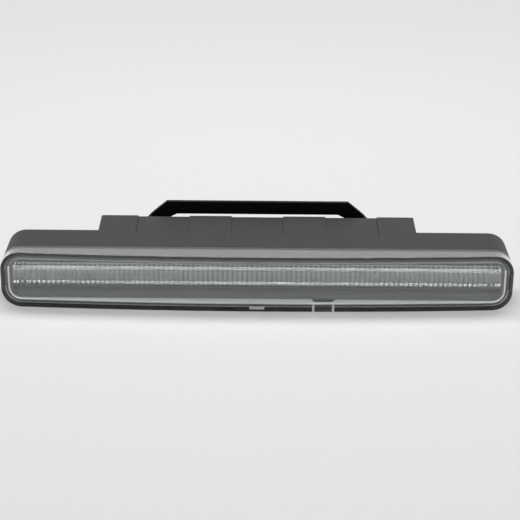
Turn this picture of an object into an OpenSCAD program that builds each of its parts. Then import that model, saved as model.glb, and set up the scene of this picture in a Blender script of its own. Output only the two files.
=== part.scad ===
// Daytime running light: a slim bar lamp with a bowed clear cover over a fluted
// light bar, a deep moulded housing and a folded steel bracket at its back.
// The front faces -Y, +X runs along the lamp and +Z is up. All sizes are in millimetres.

/* [Lamp] */
// Length of the lamp from end to end
lamp_w = 219; // [205:1:235]
// Height of the lamp
lamp_h = 25.5; // [24.5:0.5:30]
// Radius of the four corners, seen from the front
corner_r = 8.5; // [7.5:0.1:10]

/* [Cover lens] */
// Depth of the cover in front of the seam, at the middle of the lamp
lens_depth = 10.8; // [10:0.1:13]
// How far the front face falls back from the middle to the ends
face_bow = 3.5; // [2:0.1:4]
// Wall of the cover
lens_wall = 1.8; // [1.5:0.1:2.2]
// Radius of the edge round the front face
lens_edge_r = 1.2; // [0.6:0.1:1.6]
// Thickness of the tongue that enters the housing
tongue_t = 0.9; // [0.7:0.1:1.1]
// Length of the tongue behind the seam
tongue_len = 2.4; // [1.8:0.1:3]
// Thickness of the sealing cord under the tongue
seal_t = 1.1; // [0.8:0.1:1.6]
// Width of the snap latches at the two ends
end_latch_w = 7; // [5:0.5:9]
// Width of the snap latch in the bottom wall
base_latch_w = 8.5; // [6:0.5:11]
// Distance of the bottom latch from the middle of the lamp
base_latch_x = 28.5; // [20:0.5:45]
// Width of the gate mark in the middle of the bottom border
gate_w = 6.4; // [4:0.2:8]

/* [Housing] */
// Depth of the full-length front part of the housing
shell_depth = 17.5; // [17:0.5:22]
// Length of the block at the back of the housing
block_w = 139.4; // [136:0.2:146]
// Depth of the block
block_depth = 16.8; // [16.4:0.2:20]
// Wall of the housing
wall = 2.4; // [2:0.1:2.8]
// Thickness of the dark lip inside the cover
lip_t = 1.0; // [0.8:0.1:1.2]
// Chamfer round the back of the front part
shell_chamfer = 0.4; // [0.2:0.1:1.6]
// Width of each shallow channel across the top of the block
relief_w = 23; // [16:0.5:26]
// Distance between the channels
relief_pitch = 41.7; // [36:0.1:44]
// Depth of the channels
relief_depth = 0.6; // [0.3:0.1:0.9]
// Length of the channels, from the back of the block forwards
relief_run = 21.3; // [17:0.1:26]

/* [Inner frames] */
// Thickness of the bright trim frame
trim_t = 0.8; // [0.6:0.1:1]
// Overlap of the trim frame on the carrier
trim_overlap = 1.6; // [1:0.1:2.2]
// Depth of the carrier's sloping walls
funnel_depth = 3.4; // [3:0.1:4]
// Height that the carrier's sloping walls take above and below the bar
funnel_side = 2.2; // [2:0.1:2.6]
// Width of the small ledge in the sloping walls
ledge_t = 0.35; // [0.2:0.05:0.5]

/* [Light bar] */
// Gap between the bar's round front and the opening that shows it
throat_gap = 0.6; // [0.4:0.1:0.8]
// How far the flange behind the round front stands out above and below it
flange_lip = 1.2; // [1:0.1:1.4]
// Thickness of the flange
flange_t = 2.9; // [2:0.1:3]
// Distance from one rib to the next
rib_pitch = 2.1; // [1.8:0.1:3]
// Depth of the grooves between the ribs
rib_depth = 0.35; // [0.2:0.05:0.5]
// Width of the two dark gaps near each end of the bar
collar_gap = 0.9; // [0.6:0.1:1.1]

/* [Light board] */
// Distance between the light-emitting diodes
led_pitch = 8.4; // [8:0.1:9.5]
// Length of one diode, across the lamp
led_w = 2.8; // [2:0.1:3]
// Height of one diode
led_h = 3.5; // [2.5:0.1:4]
// Thickness of one diode
led_t = 1.2; // [0.8:0.1:1.4]
// Gap between the board's long edges and the housing
board_margin = 1.35; // [1.1:0.05:2]
// Thickness of the boards
board_t = 1.6; // [1.2:0.1:2]
// Gap between the light bar and the board
board_gap = 2.3; // [2:0.1:2.6]
// Thickness of the thermal pad
pad_t = 0.5; // [0.3:0.1:0.8]
// Thickness of the heat sink's plate
sink_t = 2.5; // [1.5:0.1:2.8]
// Depth of the heat sink's fins
fin_d = 4.5; // [2:0.1:5]
// Thickness of one fin
fin_t = 1.2; // [0.8:0.1:1.6]
// Distance between the fins
fin_pitch = 4; // [3:0.1:4.4]

/* [Driver] */
// Length of the driver board
driver_w = 92; // [90:1:96]
// Gap between the driver board's long edges and the housing
driver_margin = 1.85; // [1.4:0.05:2.5]
// Distance of the driver board's posts from its ends and its long edges
post_in = 5; // [4.5:0.1:5.4]
// Distance from the back of the boards' space to the driver board's back
driver_space = 10.7; // [10.5:0.1:11.5]
// Diameter of the filter capacitors
cap_d = 6.3; // [5:0.1:7]
// Length of the filter capacitors
cap_len = 8.5; // [6:0.1:9.5]
// Side of the filter inductor
coil_w = 9; // [7:0.1:10]
// Height of the filter inductor
coil_h = 6; // [4:0.1:7]
// Distance of the supply header from the board's middle
header_x = 30; // [29:0.5:31]
// Distance of the inductor from the board's middle
coil_x = 17; // [15.5:0.5:18]
// Distance of each capacitor from the board's middle
cap_x = 5; // [4:0.5:6]
// Distance of the driver chip from the board's middle
chip_x = 14.5; // [13.5:0.5:15.5]
// Distance of the diodes from the board's middle
diode_x = 24; // [23:0.5:25]
// Distance between the two diodes
diode_pitch = 8; // [6:0.5:9]

/* [Small screws] */
// Diameter of the small screws' shanks
small_d = 2.5; // [2:0.1:2.6]
// Diameter of the small screws' heads
small_head_d = 4.5; // [4:0.1:4.6]
// Height of the small screws' heads
small_head_h = 1.7; // [1.2:0.1:1.8]
// Diameter of the posts that take the small screws
post_d = 6; // [5:0.1:6.5]
// How deep the small screws reach into their posts
small_reach = 4.5; // [3:0.1:5]

/* [Cable inlet and vent] */
// Bore of the cable grommet
cable_d = 5; // [4:0.1:5.4]
// Diameter of the grommet's outer flange
grommet_d = 12; // [11:0.5:12.5]
// Diameter of the hole for the grommet
grommet_hole_d = 9; // [8:0.1:9.6]
// Diameter of the vent cap
vent_d = 11; // [9:0.5:12]
// Diameter of the vent's stem
vent_stem_d = 6.8; // [6:0.1:7.4]

/* [Bracket] */
// Thickness of the steel sheet
sheet_t = 2; // [1.5:0.1:2.5]
// Inner radius of the folds
fold_r = 1.5; // [1:0.1:2]
// Clear gap between the block and the bracket's plate
standoff = 7; // [6.6:0.1:9]
// Length of the bracket's top edge
arch_top_w = 81.6; // [72:0.2:84]
// Height of the arch's top edge above the lamp's middle
arch_top_z = 16.5; // [16:0.1:20]
// Height of the strip along the top of the arch
arch_beam_h = 5.9; // [5:0.1:8]
// Height of the window under that strip
window_h = 6.6; // [5:0.1:7]
// Width of the sloping legs, measured along the lamp
leg_w = 10.8; // [9:0.1:12]
// Height of the bracket's feet
foot_h = 14; // [13:0.5:16]
// Length of the bracket's feet beyond the fold
foot_w = 13; // [12.4:0.1:13.4]
// Distance between the middles of the two slotted holes
slot_spacing = 60; // [50:1:64]
// Width of the slotted holes
slot_w = 6.6; // [5.5:0.1:6.8]
// Length of the slotted holes, end to end
slot_len = 14; // [10:0.5:18]

/* [Bracket screws] */
// Diameter of the screws' shanks
screw_d = 5; // [4:0.1:5.2]
// Length of the screws' shanks
screw_len = 10; // [8:0.5:11]
// Diameter of the screws' heads
screw_head_d = 9.5; // [8:0.1:10]
// Height of the screws' heads
screw_head_h = 3.4; // [2.5:0.1:3.8]
// Thickness of the washers
washer_t = 1; // [0.6:0.1:1.4]
// Diameter of the threaded inserts
insert_d = 6.8; // [6.4:0.1:7.4]
// Length of the threaded inserts
insert_len = 8; // [6:0.5:8.5]

/* [Hidden] */
$fn = 48;

// Clearance between pieces that slide into each other
fit = 0.1;
// Clearance between a screw and its hole
hole_fit = 0.1;
// Extra length of a cut past the face that it opens
over = 1;

// The places along Y are counted from the seam between cover and housing
body_depth = shell_depth + block_depth;
total_depth = lens_depth + body_depth + standoff + sheet_t;
seam_y = lens_depth - total_depth / 2;
front_y = -lens_depth;
bow_radius = (pow(lamp_w / 2, 2) + pow(face_bow, 2)) / (2 * face_bow);
bow_axis_y = front_y + bow_radius;

// Insets from the lamp's outline to the walls inside it
lip_out = lens_wall + fit;
lip_in = lip_out + lip_t;
trim_out = lip_in + fit;
trim_in = trim_out + trim_t;
nose_out = trim_in + fit;
nose_t = 0.45;
funnel_start = nose_out + nose_t;
throat_h = lamp_h - 2 * (funnel_start + funnel_side);
bar_r = throat_h / 2 - throat_gap;
flange_h = 2 * (bar_r + flange_lip);
board_h = lamp_h - 2 * (lip_in + board_margin);
tongue_out = lens_wall - tongue_t;
tongue_in = lens_wall - fit / 2;
channel_out = tongue_out - fit / 2;
channel_depth = tongue_len + seal_t;

// Stack of the inner pieces, from the front to the back
lens_inside = lens_wall + fit;
carrier_front = front_y + lens_wall + face_bow + 0.3;
trim_back = carrier_front + trim_overlap;
funnel_end = carrier_front + funnel_depth;
funnel_mid = carrier_front + funnel_depth * 0.5;
bar_sunk = 0.2;
bar_seat = 0.5;
flange_front = max(funnel_end + 0.3, carrier_front + bar_sunk + bar_r - bar_seat);
bar_axis_y = flange_front + bar_seat;
flange_back = flange_front + flange_t;
board_front = flange_back + board_gap;
board_back = board_front + board_t;
pad_back = board_back + pad_t;
sink_back = pad_back + sink_t;
shoulder_y = shell_depth - wall;
block_back = body_depth;
block_inside = block_back - wall;
driver_back = block_inside - driver_space;
driver_front = driver_back - board_t;

// Light board and bar
half_space = lamp_w / 2 - trim_out;
board_w = 2 * (half_space - 1.7);
bar_half = half_space - 1.9;
led_half_count = floor((bar_half - small_head_d / 2 - 1.4) / led_pitch);
led_count = 2 * led_half_count;
outer_screw_x = led_pitch * led_half_count;
inner_screw_x = led_pitch * ceil((block_w / 2 + post_d / 2) / led_pitch);
screw_xs = [-outer_screw_x, -inner_screw_x, inner_screw_x, outer_screw_x];
rib_half_count = floor((bar_half - 5.9) / rib_pitch);
rib_end = rib_half_count * rib_pitch;
foot_start = outer_screw_x + small_head_d / 2 + 0.25;

// Driver
driver_h = lamp_h - 2 * (wall + driver_margin);
post_x = driver_w / 2 - post_in;
post_z = driver_h / 2 - post_in + 2;
link_x = led_pitch * floor((post_x - 3) / led_pitch);
link_gap = 2.54;
pin_d = 0.8;

// Bracket and its screws
insert_x = block_w / 2 - 13.2;
fold_x = insert_x - 6.5;
plate_front = block_back + standoff;
plate_back = plate_front + sheet_t;
leg_slope = 1.185;
window_top_z = arch_top_z - arch_beam_h;
window_bottom_z = window_top_z - window_h;
slot_z = (window_bottom_z - foot_h / 2) / 2;
inlet_y = shell_depth + block_depth / 2 - 1.4;
side_x = block_w / 2;

// Puts a piece that is drawn from the seam and the lamp's middle in its place
module placed() {
  translate([0, seam_y, lamp_h / 2]) children();
}

// Draws a flat outline in X and Z and gives it depth from y0 to y1
module along_y(y0, y1) {
  translate([0, y1, 0]) rotate([90, 0, 0]) linear_extrude(height = y1 - y0) children();
}

// A rod along Y from y0 to y1
module rod_y(d, y0, y1) {
  translate([0, y1, 0]) rotate([90, 0, 0]) cylinder(d = d, h = y1 - y0);
}

// A rectangle with round corners
module round_rect(w, h, r) {
  square([w - 2 * r, h], center = true);
  square([w, h - 2 * r], center = true);
  for (sx = [-1, 1]) {
    for (sz = [-1, 1]) {
      translate([sx * (w / 2 - r), sz * (h / 2 - r)]) circle(r = r);
    }
  }
}

// The lamp's outline, moved inwards by an inset
module lamp_outline(inset) {
  round_rect(lamp_w - 2 * inset, lamp_h - 2 * inset, corner_r - inset);
}

// A closed band between two insets of the lamp's outline
module outline_band(outer, inner, y0, y1) {
  along_y(y0, y1) difference() {
    lamp_outline(outer);
    lamp_outline(inner);
  }
}

// Place along Y of the bowed surface that lies a given depth behind the front face
function bow_y(x, depth) = bow_axis_y - sqrt(pow(bow_radius - depth, 2) - x * x);

// Everything between that surface and the space just behind the seam
module behind_face(depth) {
  half = lamp_w / 2;
  steps = 32;
  translate([0, 0, -lamp_h]) linear_extrude(height = 2 * lamp_h) {
    polygon(concat(
      [for (i = [0:steps]) let (x = half * (2 * i / steps - 1)) [x, bow_y(x, depth)]],
      [[half, 2 * over], [-half, 2 * over]]
    ));
  }
}

// Upper half of the lamp's outline, from the right end to the left one
arc_steps = 10;
span_steps = 24;
function upper_half(inset) =
  let (r = corner_r - inset, cx = lamp_w / 2 - corner_r, cz = lamp_h / 2 - corner_r)
  concat(
    [for (i = [0:arc_steps]) let (a = 90 * i / arc_steps) [cx + r * cos(a), cz + r * sin(a)]],
    [for (i = [1:span_steps - 1]) [cx - 2 * cx * i / span_steps, cz + r]],
    [for (i = [0:arc_steps]) let (a = 90 + 90 * i / arc_steps) [-cx + r * cos(a), cz + r * sin(a)]]
  );

// The whole outline: the lower half mirrors the upper one, so point i faces point n - 1 - i
function full_outline(inset) =
  let (up = upper_half(inset), n = len(up))
  concat(up, [for (i = [n - 1:-1:0]) [up[i][0], -up[i][1]]]);

// One ring of points on a bowed surface, and one on a flat plane
function bowed_ring(inset, depth) = [for (p = full_outline(inset)) [p[0], bow_y(p[0], depth), p[1]]];
function flat_ring(inset, y) = [for (p = full_outline(inset)) [p[0], y, p[1]]];

// A solid skinned over a list of rings, from the back one to the front one
module skin(rings) {
  n = len(rings[0]);
  last = len(rings) - 1;
  sides = [
    for (k = [0:last - 1], i = [0:n - 1])
      let (j = (i + 1) % n)
      [k * n + i, (k + 1) * n + i, (k + 1) * n + j, k * n + j]
  ];
  back_cap = [for (i = [0:n / 2 - 2]) [i, i + 1, n - 2 - i, n - 1 - i]];
  front_cap = [
    for (i = [0:n / 2 - 2])
      let (b = last * n)
      [b + n - 1 - i, b + n - 2 - i, b + i + 1, b + i]
  ];
  polyhedron(points = [for (ring = rings, p = ring) p], faces = concat(sides, back_cap, front_cap));
}

// The clear cover

edge_steps = 4;

module cover_skin() {
  skin(concat(
    [flat_ring(0, 0)],
    [
      for (i = [0:edge_steps])
        let (a = 90 * i / edge_steps)
        bowed_ring(lens_edge_r * (1 - cos(a)), lens_edge_r * (1 - sin(a)))
    ]
  ));
}

module cover_hollow() {
  inner_r = lens_edge_r / 2;
  skin([
    flat_ring(lens_wall, over),
    bowed_ring(lens_wall, lens_wall + inner_r),
    bowed_ring(lens_wall + inner_r * 0.3, lens_wall + inner_r * 0.3),
    bowed_ring(lens_wall + inner_r, lens_wall)
  ]);
}

// Block of space for one snap latch in the cover's outer wall
latch_t = channel_out;
latch_reach_end = -bow_y(lamp_w / 2 - corner_r, 2.4) - 0.9;
latch_reach_base = -bow_y(base_latch_x, 2.4);

module end_latches(t, w, reach, back) {
  for (s = [-1, 1]) {
    translate([s * (lamp_w / 2 - t / 2), (back - reach) / 2, 0]) {
      cube([t, back + reach, w], center = true);
    }
  }
}

module base_latch(t, w, reach, back) {
  translate([base_latch_x, (back - reach) / 2, -lamp_h / 2 + t / 2]) {
    cube([w, back + reach, t], center = true);
  }
}

module gate_mark() {
  gate_h = 1.4;
  gate_sink = 0.3;
  translate([0, front_y, -lamp_h / 2 + lens_edge_r + gate_h / 2]) {
    cube([gate_w, 2 * gate_sink, gate_h], center = true);
  }
}

module cover_lens() {
  tongue_sunk = 0.4;
  color([0.86, 0.89, 0.90, 0.35]) placed() {
    difference() {
      cover_skin();
      cover_hollow();
      end_latches(latch_t, end_latch_w, latch_reach_end, 0.01);
      base_latch(latch_t, base_latch_w, latch_reach_base, 0.01);
      gate_mark();
    }
    outline_band(tongue_out, tongue_in, -tongue_sunk, tongue_len);
  }
}

module lens_seal() {
  color([0.12, 0.12, 0.13]) placed() {
    outline_band(tongue_out, tongue_in, tongue_len, channel_depth);
  }
}

// The housing

module shell_body() {
  slice = 0.2;
  draft = 0.6;
  hull() {
    along_y(0, slice) lamp_outline(0, $fn = 32);
    along_y(shell_depth - shell_chamfer - slice, shell_depth - shell_chamfer) {
      round_rect(lamp_w - draft, lamp_h, corner_r);
    }
    along_y(shell_depth - slice, shell_depth) {
      round_rect(lamp_w - draft - 2 * shell_chamfer, lamp_h - 2 * shell_chamfer, corner_r - shell_chamfer);
    }
  }
}

module block_body() {
  slice = 0.2;
  block_r = 0.8;
  back_edge = 0.3;
  hull() {
    along_y(shell_depth - 6, block_back - back_edge) round_rect(block_w, lamp_h, block_r);
    along_y(block_back - slice, block_back) {
      round_rect(block_w - 2 * back_edge, lamp_h - 2 * back_edge, block_r);
    }
  }
}

// Dark lip that stands forward inside the cover, cut to the same bow as the front face
module cover_lip() {
  intersection() {
    outline_band(lip_out, lip_in, front_y, over);
    behind_face(lens_wall + 0.6);
  }
}

module housing_cavity() {
  along_y(front_y - over, shoulder_y) lamp_outline(lip_in);
  along_y(shoulder_y - over, block_inside) {
    round_rect(block_w - 2 * wall, lamp_h - 2 * wall, 1.5);
  }
}

module top_channels() {
  for (i = [-1:1]) {
    translate([i * relief_pitch - relief_w / 2, block_back - relief_run, lamp_h / 2 - relief_depth]) {
      cube([relief_w, relief_run + over, relief_depth + over]);
    }
  }
}

module board_posts() {
  for (x = screw_xs) {
    translate([x, 0, 0]) rod_y(post_d, sink_back, shoulder_y + 0.5);
  }
}

module driver_posts() {
  for (x = [-post_x, post_x], z = [-post_z, post_z]) {
    translate([x, 0, z]) rod_y(post_d - 0.8, driver_back, block_inside + 0.5);
  }
}

insert_boss_d = insert_d + 2 * 2;
insert_boss_len = insert_len + 1.5;

module insert_bosses() {
  for (s = [-1, 1]) {
    translate([s * insert_x, 0, 0]) rod_y(insert_boss_d, block_back - insert_boss_len, block_inside + 0.5);
  }
}

module housing_bores() {
  small_bore = small_d + hole_fit;
  post_bore_len = small_reach + 0.6;
  for (x = screw_xs) {
    translate([x, 0, 0]) rod_y(small_bore, sink_back - over, sink_back + post_bore_len);
  }
  for (x = [-post_x, post_x], z = [-post_z, post_z]) {
    translate([x, 0, z]) rod_y(small_bore, driver_back - over, driver_back + post_bore_len);
  }
  for (s = [-1, 1]) {
    translate([s * insert_x, 0, 0]) rod_y(insert_d + hole_fit, block_back - insert_len, block_back + over);
  }
  translate([-side_x - over, inlet_y, 0]) rotate([0, 90, 0]) {
    cylinder(d = grommet_hole_d, h = wall + 2 * over);
  }
  translate([side_x - wall - over, inlet_y, 0]) rotate([0, 90, 0]) {
    cylinder(d = vent_stem_d + hole_fit, h = wall + 2 * over);
  }
}

module rear_housing() {
  color([0.20, 0.20, 0.19]) placed() {
    difference() {
      union() {
        difference() {
          union() {
            shell_body();
            block_body();
          }
          housing_cavity();
          top_channels();
          outline_band(channel_out, lip_out, -over, channel_depth);
        }
        cover_lip();
        end_latches(latch_t - fit, end_latch_w - 2 * fit, latch_reach_end - fit, 0.5);
        base_latch(latch_t - fit, base_latch_w - 2 * fit, latch_reach_base - fit, 0.5);
        board_posts();
        driver_posts();
        insert_bosses();
      }
      housing_bores();
    }
  }
}

// Frames behind the cover

// Notch for the bottom latch in the back edge of the trim frame's lower wall
module trim_notch() {
  notch_d = 2.5;
  half = base_latch_w / 2;
  translate([base_latch_x, carrier_front, -lamp_h / 2 + trim_out - over]) {
    linear_extrude(height = trim_t + 2 * over) {
      polygon([[-half - 0.8, trim_overlap + over], [-half - 0.8, 0], [-half + 0.4, -notch_d],
               [half - 0.4, -notch_d], [half + 0.8, 0], [half + 0.8, trim_overlap + over]]);
    }
  }
}

module trim_frame() {
  color([0.80, 0.81, 0.82]) placed() {
    difference() {
      intersection() {
        outline_band(trim_out, trim_in, front_y, trim_back);
        behind_face(lens_inside);
      }
      trim_notch();
    }
  }
}

module bar_carrier() {
  throat_inset = (lamp_h - throat_h) / 2;
  mid_inset = (funnel_start + throat_inset) / 2;
  bar_len = 2 * bar_half;
  throat_r = 0.5;
  color([0.26, 0.27, 0.28]) placed() {
    difference() {
      union() {
        along_y(carrier_front, board_front) lamp_outline(nose_out);
        along_y(trim_back, board_front) lamp_outline(trim_out);
      }
      // The ends stay almost upright, so only the height of the opening narrows
      hull() {
        along_y(carrier_front - over, carrier_front) {
          round_rect(bar_len, lamp_h - 2 * funnel_start, corner_r - funnel_start, $fn = 32);
        }
        along_y(funnel_mid, funnel_mid + 0.02) {
          round_rect(bar_len, lamp_h - 2 * mid_inset + 2 * ledge_t, 3, $fn = 32);
        }
      }
      hull() {
        along_y(funnel_mid, funnel_mid + 0.02) round_rect(bar_len, lamp_h - 2 * mid_inset, 3, $fn = 32);
        along_y(funnel_end, funnel_end + 0.02) round_rect(bar_len, throat_h, throat_r, $fn = 32);
      }
      along_y(funnel_end, flange_front + 0.01) round_rect(bar_len, throat_h, throat_r);
      along_y(flange_front, board_front + over) square([bar_len, flange_h + 2 * fit], center = true);
    }
  }
}

// The fluted light bar

// Half section of the bar's round front: ribs in the middle, two collars at each end
module bar_section() {
  core = bar_r - rib_depth;
  gap_r = bar_r - 1.4;
  end_x = bar_half - fit;
  first_gap = rib_end + 0.3;
  second_gap = first_gap + collar_gap + 1.2;
  ribs = [
    for (i = [-rib_half_count:rib_half_count - 1])
      each [[core, i * rib_pitch], [bar_r, (i + 0.3) * rib_pitch], [bar_r, (i + 0.7) * rib_pitch]]
  ];
  polygon(concat(
    [[0, -end_x], [bar_r, -end_x], [bar_r, -second_gap - collar_gap], [gap_r, -second_gap - collar_gap],
     [gap_r, -second_gap], [bar_r, -second_gap], [bar_r, -first_gap - collar_gap],
     [gap_r, -first_gap - collar_gap], [gap_r, -first_gap], [core, -first_gap]],
    ribs,
    [[core, first_gap], [gap_r, first_gap], [gap_r, first_gap + collar_gap], [bar_r, first_gap + collar_gap],
     [bar_r, second_gap], [gap_r, second_gap], [gap_r, second_gap + collar_gap],
     [bar_r, second_gap + collar_gap], [bar_r, end_x], [0, end_x]]
  ));
}

module light_bar() {
  end_x = bar_half - fit;
  color([0.88, 0.90, 0.91, 0.6]) placed() {
    translate([0, bar_axis_y, 0]) rotate([0, 90, 0]) {
      rotate_extrude(angle = 180, start = 180) bar_section();
    }
    along_y(flange_front, flange_back) square([2 * end_x, flange_h], center = true);
    for (s = [-1, 1]) {
      translate([s * (foot_start + end_x) / 2, (flange_back + board_front) / 2, 0]) {
        cube([end_x - foot_start, board_front - flange_back, flange_h], center = true);
      }
    }
  }
}

// The light board and what cools it

module board_plate(w, h, r, y0, y1) {
  along_y(y0, y1) round_rect(w, h, r);
}

module board_holes(y0, y1) {
  for (x = screw_xs) {
    translate([x, 0, 0]) rod_y(small_d + 2 * hole_fit, y0 - over, y1 + over);
  }
  for (s = [-0.5, 0.5]) {
    translate([link_x, 0, s * link_gap]) rod_y(pin_d + 2 * hole_fit, y0 - over, y1 + over);
  }
}

module led_board() {
  color([0.90, 0.91, 0.90]) placed() {
    difference() {
      board_plate(board_w, board_h, 4, board_front, board_back);
      board_holes(board_front, board_back);
    }
  }
}

module leds() {
  dome = 0.3;
  color([0.95, 0.86, 0.45]) placed() {
    for (i = [0:led_count - 1]) {
      translate([(i - (led_count - 1) / 2) * led_pitch, board_front, 0]) {
        translate([0, dome / 2 - led_t / 2, 0]) cube([led_w, led_t - dome, led_h], center = true);
        rod_y(led_w - 0.6, -led_t, dome - led_t);
      }
    }
  }
}

// One resistor feeds each group of three diodes
module board_resistors() {
  group = 3;
  chip = [2, 0.6, 1.25];
  color([0.10, 0.10, 0.11]) placed() {
    for (i = [0:floor(led_count / group) - 1]) {
      x = ((i + 0.5) * group - led_count / 2) * led_pitch;
      translate([x, board_front - chip[1] / 2, board_h / 2 - 3.2]) cube(chip, center = true);
    }
  }
}

module thermal_pad() {
  color([0.55, 0.62, 0.70]) placed() {
    difference() {
      board_plate(board_w - 2, board_h - 1, 3, board_back, pad_back);
      board_holes(board_back, pad_back);
      link_window(board_back, pad_back);
    }
  }
}

// Window in the pad and the heat sink for the pins between the two boards
module link_window(y0, y1) {
  translate([link_x, (y0 + y1) / 2, 0]) cube([5, y1 - y0 + 2 * over, link_gap + 4], center = true);
}

module heat_sink() {
  fin_len = 2 * (link_x - 6);
  fin_count = 1 + floor((board_h - 3) / fin_pitch);
  color([0.72, 0.73, 0.75]) placed() {
    difference() {
      union() {
        board_plate(board_w, board_h, 4, pad_back, sink_back);
        for (i = [0:fin_count - 1]) {
          translate([0, sink_back + fin_d / 2 - 0.25, (i - (fin_count - 1) / 2) * fin_pitch]) {
            cube([fin_len, fin_d + 0.5, fin_t], center = true);
          }
        }
      }
      board_holes(pad_back, sink_back);
      link_window(pad_back, sink_back);
    }
  }
}

// A small pan-head screw along Y, with its head's seat at y = 0
module small_screw(len) {
  recess_d = 2.2;
  difference() {
    union() {
      rod_y(small_head_d, -small_head_h, 0);
      rod_y(small_d, -0.2, len);
    }
    translate([0, -small_head_h, 0]) {
      cube([recess_d, 1.6, 0.5], center = true);
      cube([0.5, 1.6, recess_d], center = true);
    }
  }
}

module board_screws() {
  color([0.66, 0.66, 0.68]) placed() {
    for (x = screw_xs) {
      translate([x, board_front, 0]) small_screw(sink_back - board_front + small_reach);
    }
  }
}

// The driver in the block

module driver_board() {
  color([0.10, 0.30, 0.18]) placed() {
    difference() {
      board_plate(driver_w, driver_h, 1.5, driver_front, driver_back);
      for (x = [-post_x, post_x], z = [-post_z, post_z]) {
        translate([x, 0, z]) rod_y(small_d + 2 * hole_fit, driver_front - over, driver_back + over);
      }
      for (s = [-0.5, 0.5]) {
        translate([link_x, 0, s * link_gap]) rod_y(pin_d + 2 * hole_fit, driver_front - over, driver_back + over);
      }
    }
  }
}

module driver_screws() {
  color([0.66, 0.66, 0.68]) placed() {
    for (x = [-post_x, post_x], z = [-post_z, post_z]) {
      translate([x, driver_front, z]) small_screw(board_t + small_reach);
    }
  }
}

module filter_inductor() {
  color([0.22, 0.22, 0.24]) placed() {
    translate([-coil_x, 0, 0]) {
      along_y(driver_back, driver_back + coil_h * 0.25) round_rect(coil_w, coil_w, 2);
      rod_y(coil_w * 0.72, driver_back, driver_back + coil_h);
      along_y(driver_back + coil_h * 0.75, driver_back + coil_h) round_rect(coil_w, coil_w, 2);
    }
  }
}

module filter_capacitors() {
  base_w = cap_d + 0.3;
  color([0.78, 0.79, 0.81]) placed() {
    for (x = [-cap_x, cap_x]) {
      translate([x, 0, 0]) {
        along_y(driver_back, driver_back + 1.2) round_rect(base_w, base_w, 0.8);
        rod_y(cap_d, driver_back, driver_back + cap_len);
      }
    }
  }
}

module driver_chip() {
  body = [5, 1.5, 3.9];
  color([0.08, 0.08, 0.09]) placed() {
    translate([chip_x, driver_back + body[1] / 2, 0]) {
      cube(body, center = true);
      for (i = [-1.5:1:1.5]) {
        translate([i * 1.27, -0.5, 0]) cube([0.42, 0.5, 6], center = true);
      }
    }
  }
}

module protection_diodes() {
  body = [4.6, 2.3, 3.6];
  color([0.13, 0.13, 0.14]) placed() {
    for (z = [-diode_pitch / 2, diode_pitch / 2]) {
      translate([diode_x, driver_back + body[1] / 2, z]) {
        cube(body, center = true);
        translate([0, -body[1] / 2 + 0.15, 0]) cube([6.6, 0.3, 2], center = true);
      }
    }
  }
}

// Header on the driver board for the supply lead's crimped plug
module supply_header() {
  size = [9, 7, 6];
  pin = 0.64;
  color([0.90, 0.90, 0.86]) placed() {
    translate([-header_x, driver_back, 0]) {
      difference() {
        translate([0, size[1] / 2, 0]) cube(size, center = true);
        translate([0, size[1] / 2 + 1, 0]) cube([size[0] - 1.4, size[1], size[2] - 1.4], center = true);
      }
      for (i = [-1:1]) {
        translate([i * 2.5, 2.75, 0]) cube([pin, 5.5, pin], center = true);
      }
    }
  }
}

module link_header() {
  body = [3, 2.5, link_gap * 2];
  color([0.09, 0.09, 0.10]) placed() {
    translate([link_x, driver_front - body[1] / 2, 0]) difference() {
      cube(body, center = true);
      for (s = [-0.5, 0.5]) {
        translate([0, 0, s * link_gap]) rod_y(pin_d + hole_fit, -body[1], body[1]);
      }
    }
  }
}

// Two pins that carry the current from the driver board to the light board
module link_pins() {
  color([0.80, 0.66, 0.32]) placed() {
    for (s = [-0.5, 0.5]) {
      translate([link_x, 0, s * link_gap]) {
        rod_y(pin_d, board_front - 0.6, driver_back + 0.8);
        rod_y(pin_d + 0.8, driver_back, driver_back + 0.5);
        rod_y(pin_d + 0.8, board_front - 0.5, board_front);
      }
    }
  }
}

// Cable inlet and vent

// Turns a half section, drawn as radius and distance outwards, to point along X
module turned_out(side) {
  translate([side * side_x, inlet_y, 0]) rotate([0, side * 90, 0]) rotate_extrude() children();
}

module cable_grommet() {
  neck_r = grommet_hole_d / 2 - fit / 2;
  flange_thick = 1.8;
  inner_thick = 1.6;
  bore_r = cable_d / 2;
  color([0.07, 0.07, 0.08]) placed() turned_out(-1) {
    polygon([
      [bore_r, -wall - inner_thick], [neck_r + 0.2, -wall - inner_thick], [neck_r + 0.9, -wall - 0.6],
      [neck_r + 0.9, -wall], [neck_r, -wall], [neck_r, 0], [grommet_d / 2, 0],
      [grommet_d / 2, flange_thick * 0.55], [grommet_d / 2 - 1.2, flange_thick], [bore_r, flange_thick]
    ]);
  }
}

vent_bore_r = vent_stem_d / 2 - 1.3;
vent_inside = wall + 0.8;

module vent_cap() {
  cap_t = 2.4;
  chamber_top = 1.5;
  color([0.08, 0.08, 0.09]) placed() difference() {
    turned_out(1) {
      polygon([
        [vent_bore_r, -vent_inside], [vent_stem_d / 2, -vent_inside], [vent_stem_d / 2, 0],
        [vent_d / 2, 0], [vent_d / 2, cap_t - 0.7], [vent_d / 2 - 0.7, cap_t], [0, cap_t],
        [0, chamber_top], [vent_bore_r, chamber_top]
      ]);
    }
    for (a = [0, 90]) {
      translate([side_x + 0.8, inlet_y, 0]) rotate([a, 0, 0]) {
        cube([0.8, vent_d + 2 * over, 1.2], center = true);
      }
    }
  }
}

module vent_membrane() {
  disc_t = 0.3;
  color([0.92, 0.92, 0.90]) placed() {
    translate([side_x - vent_inside - disc_t, inlet_y, 0]) rotate([0, 90, 0]) {
      cylinder(d = vent_stem_d - 0.6, h = disc_t);
    }
  }
}

// The bracket and what holds it

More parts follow.
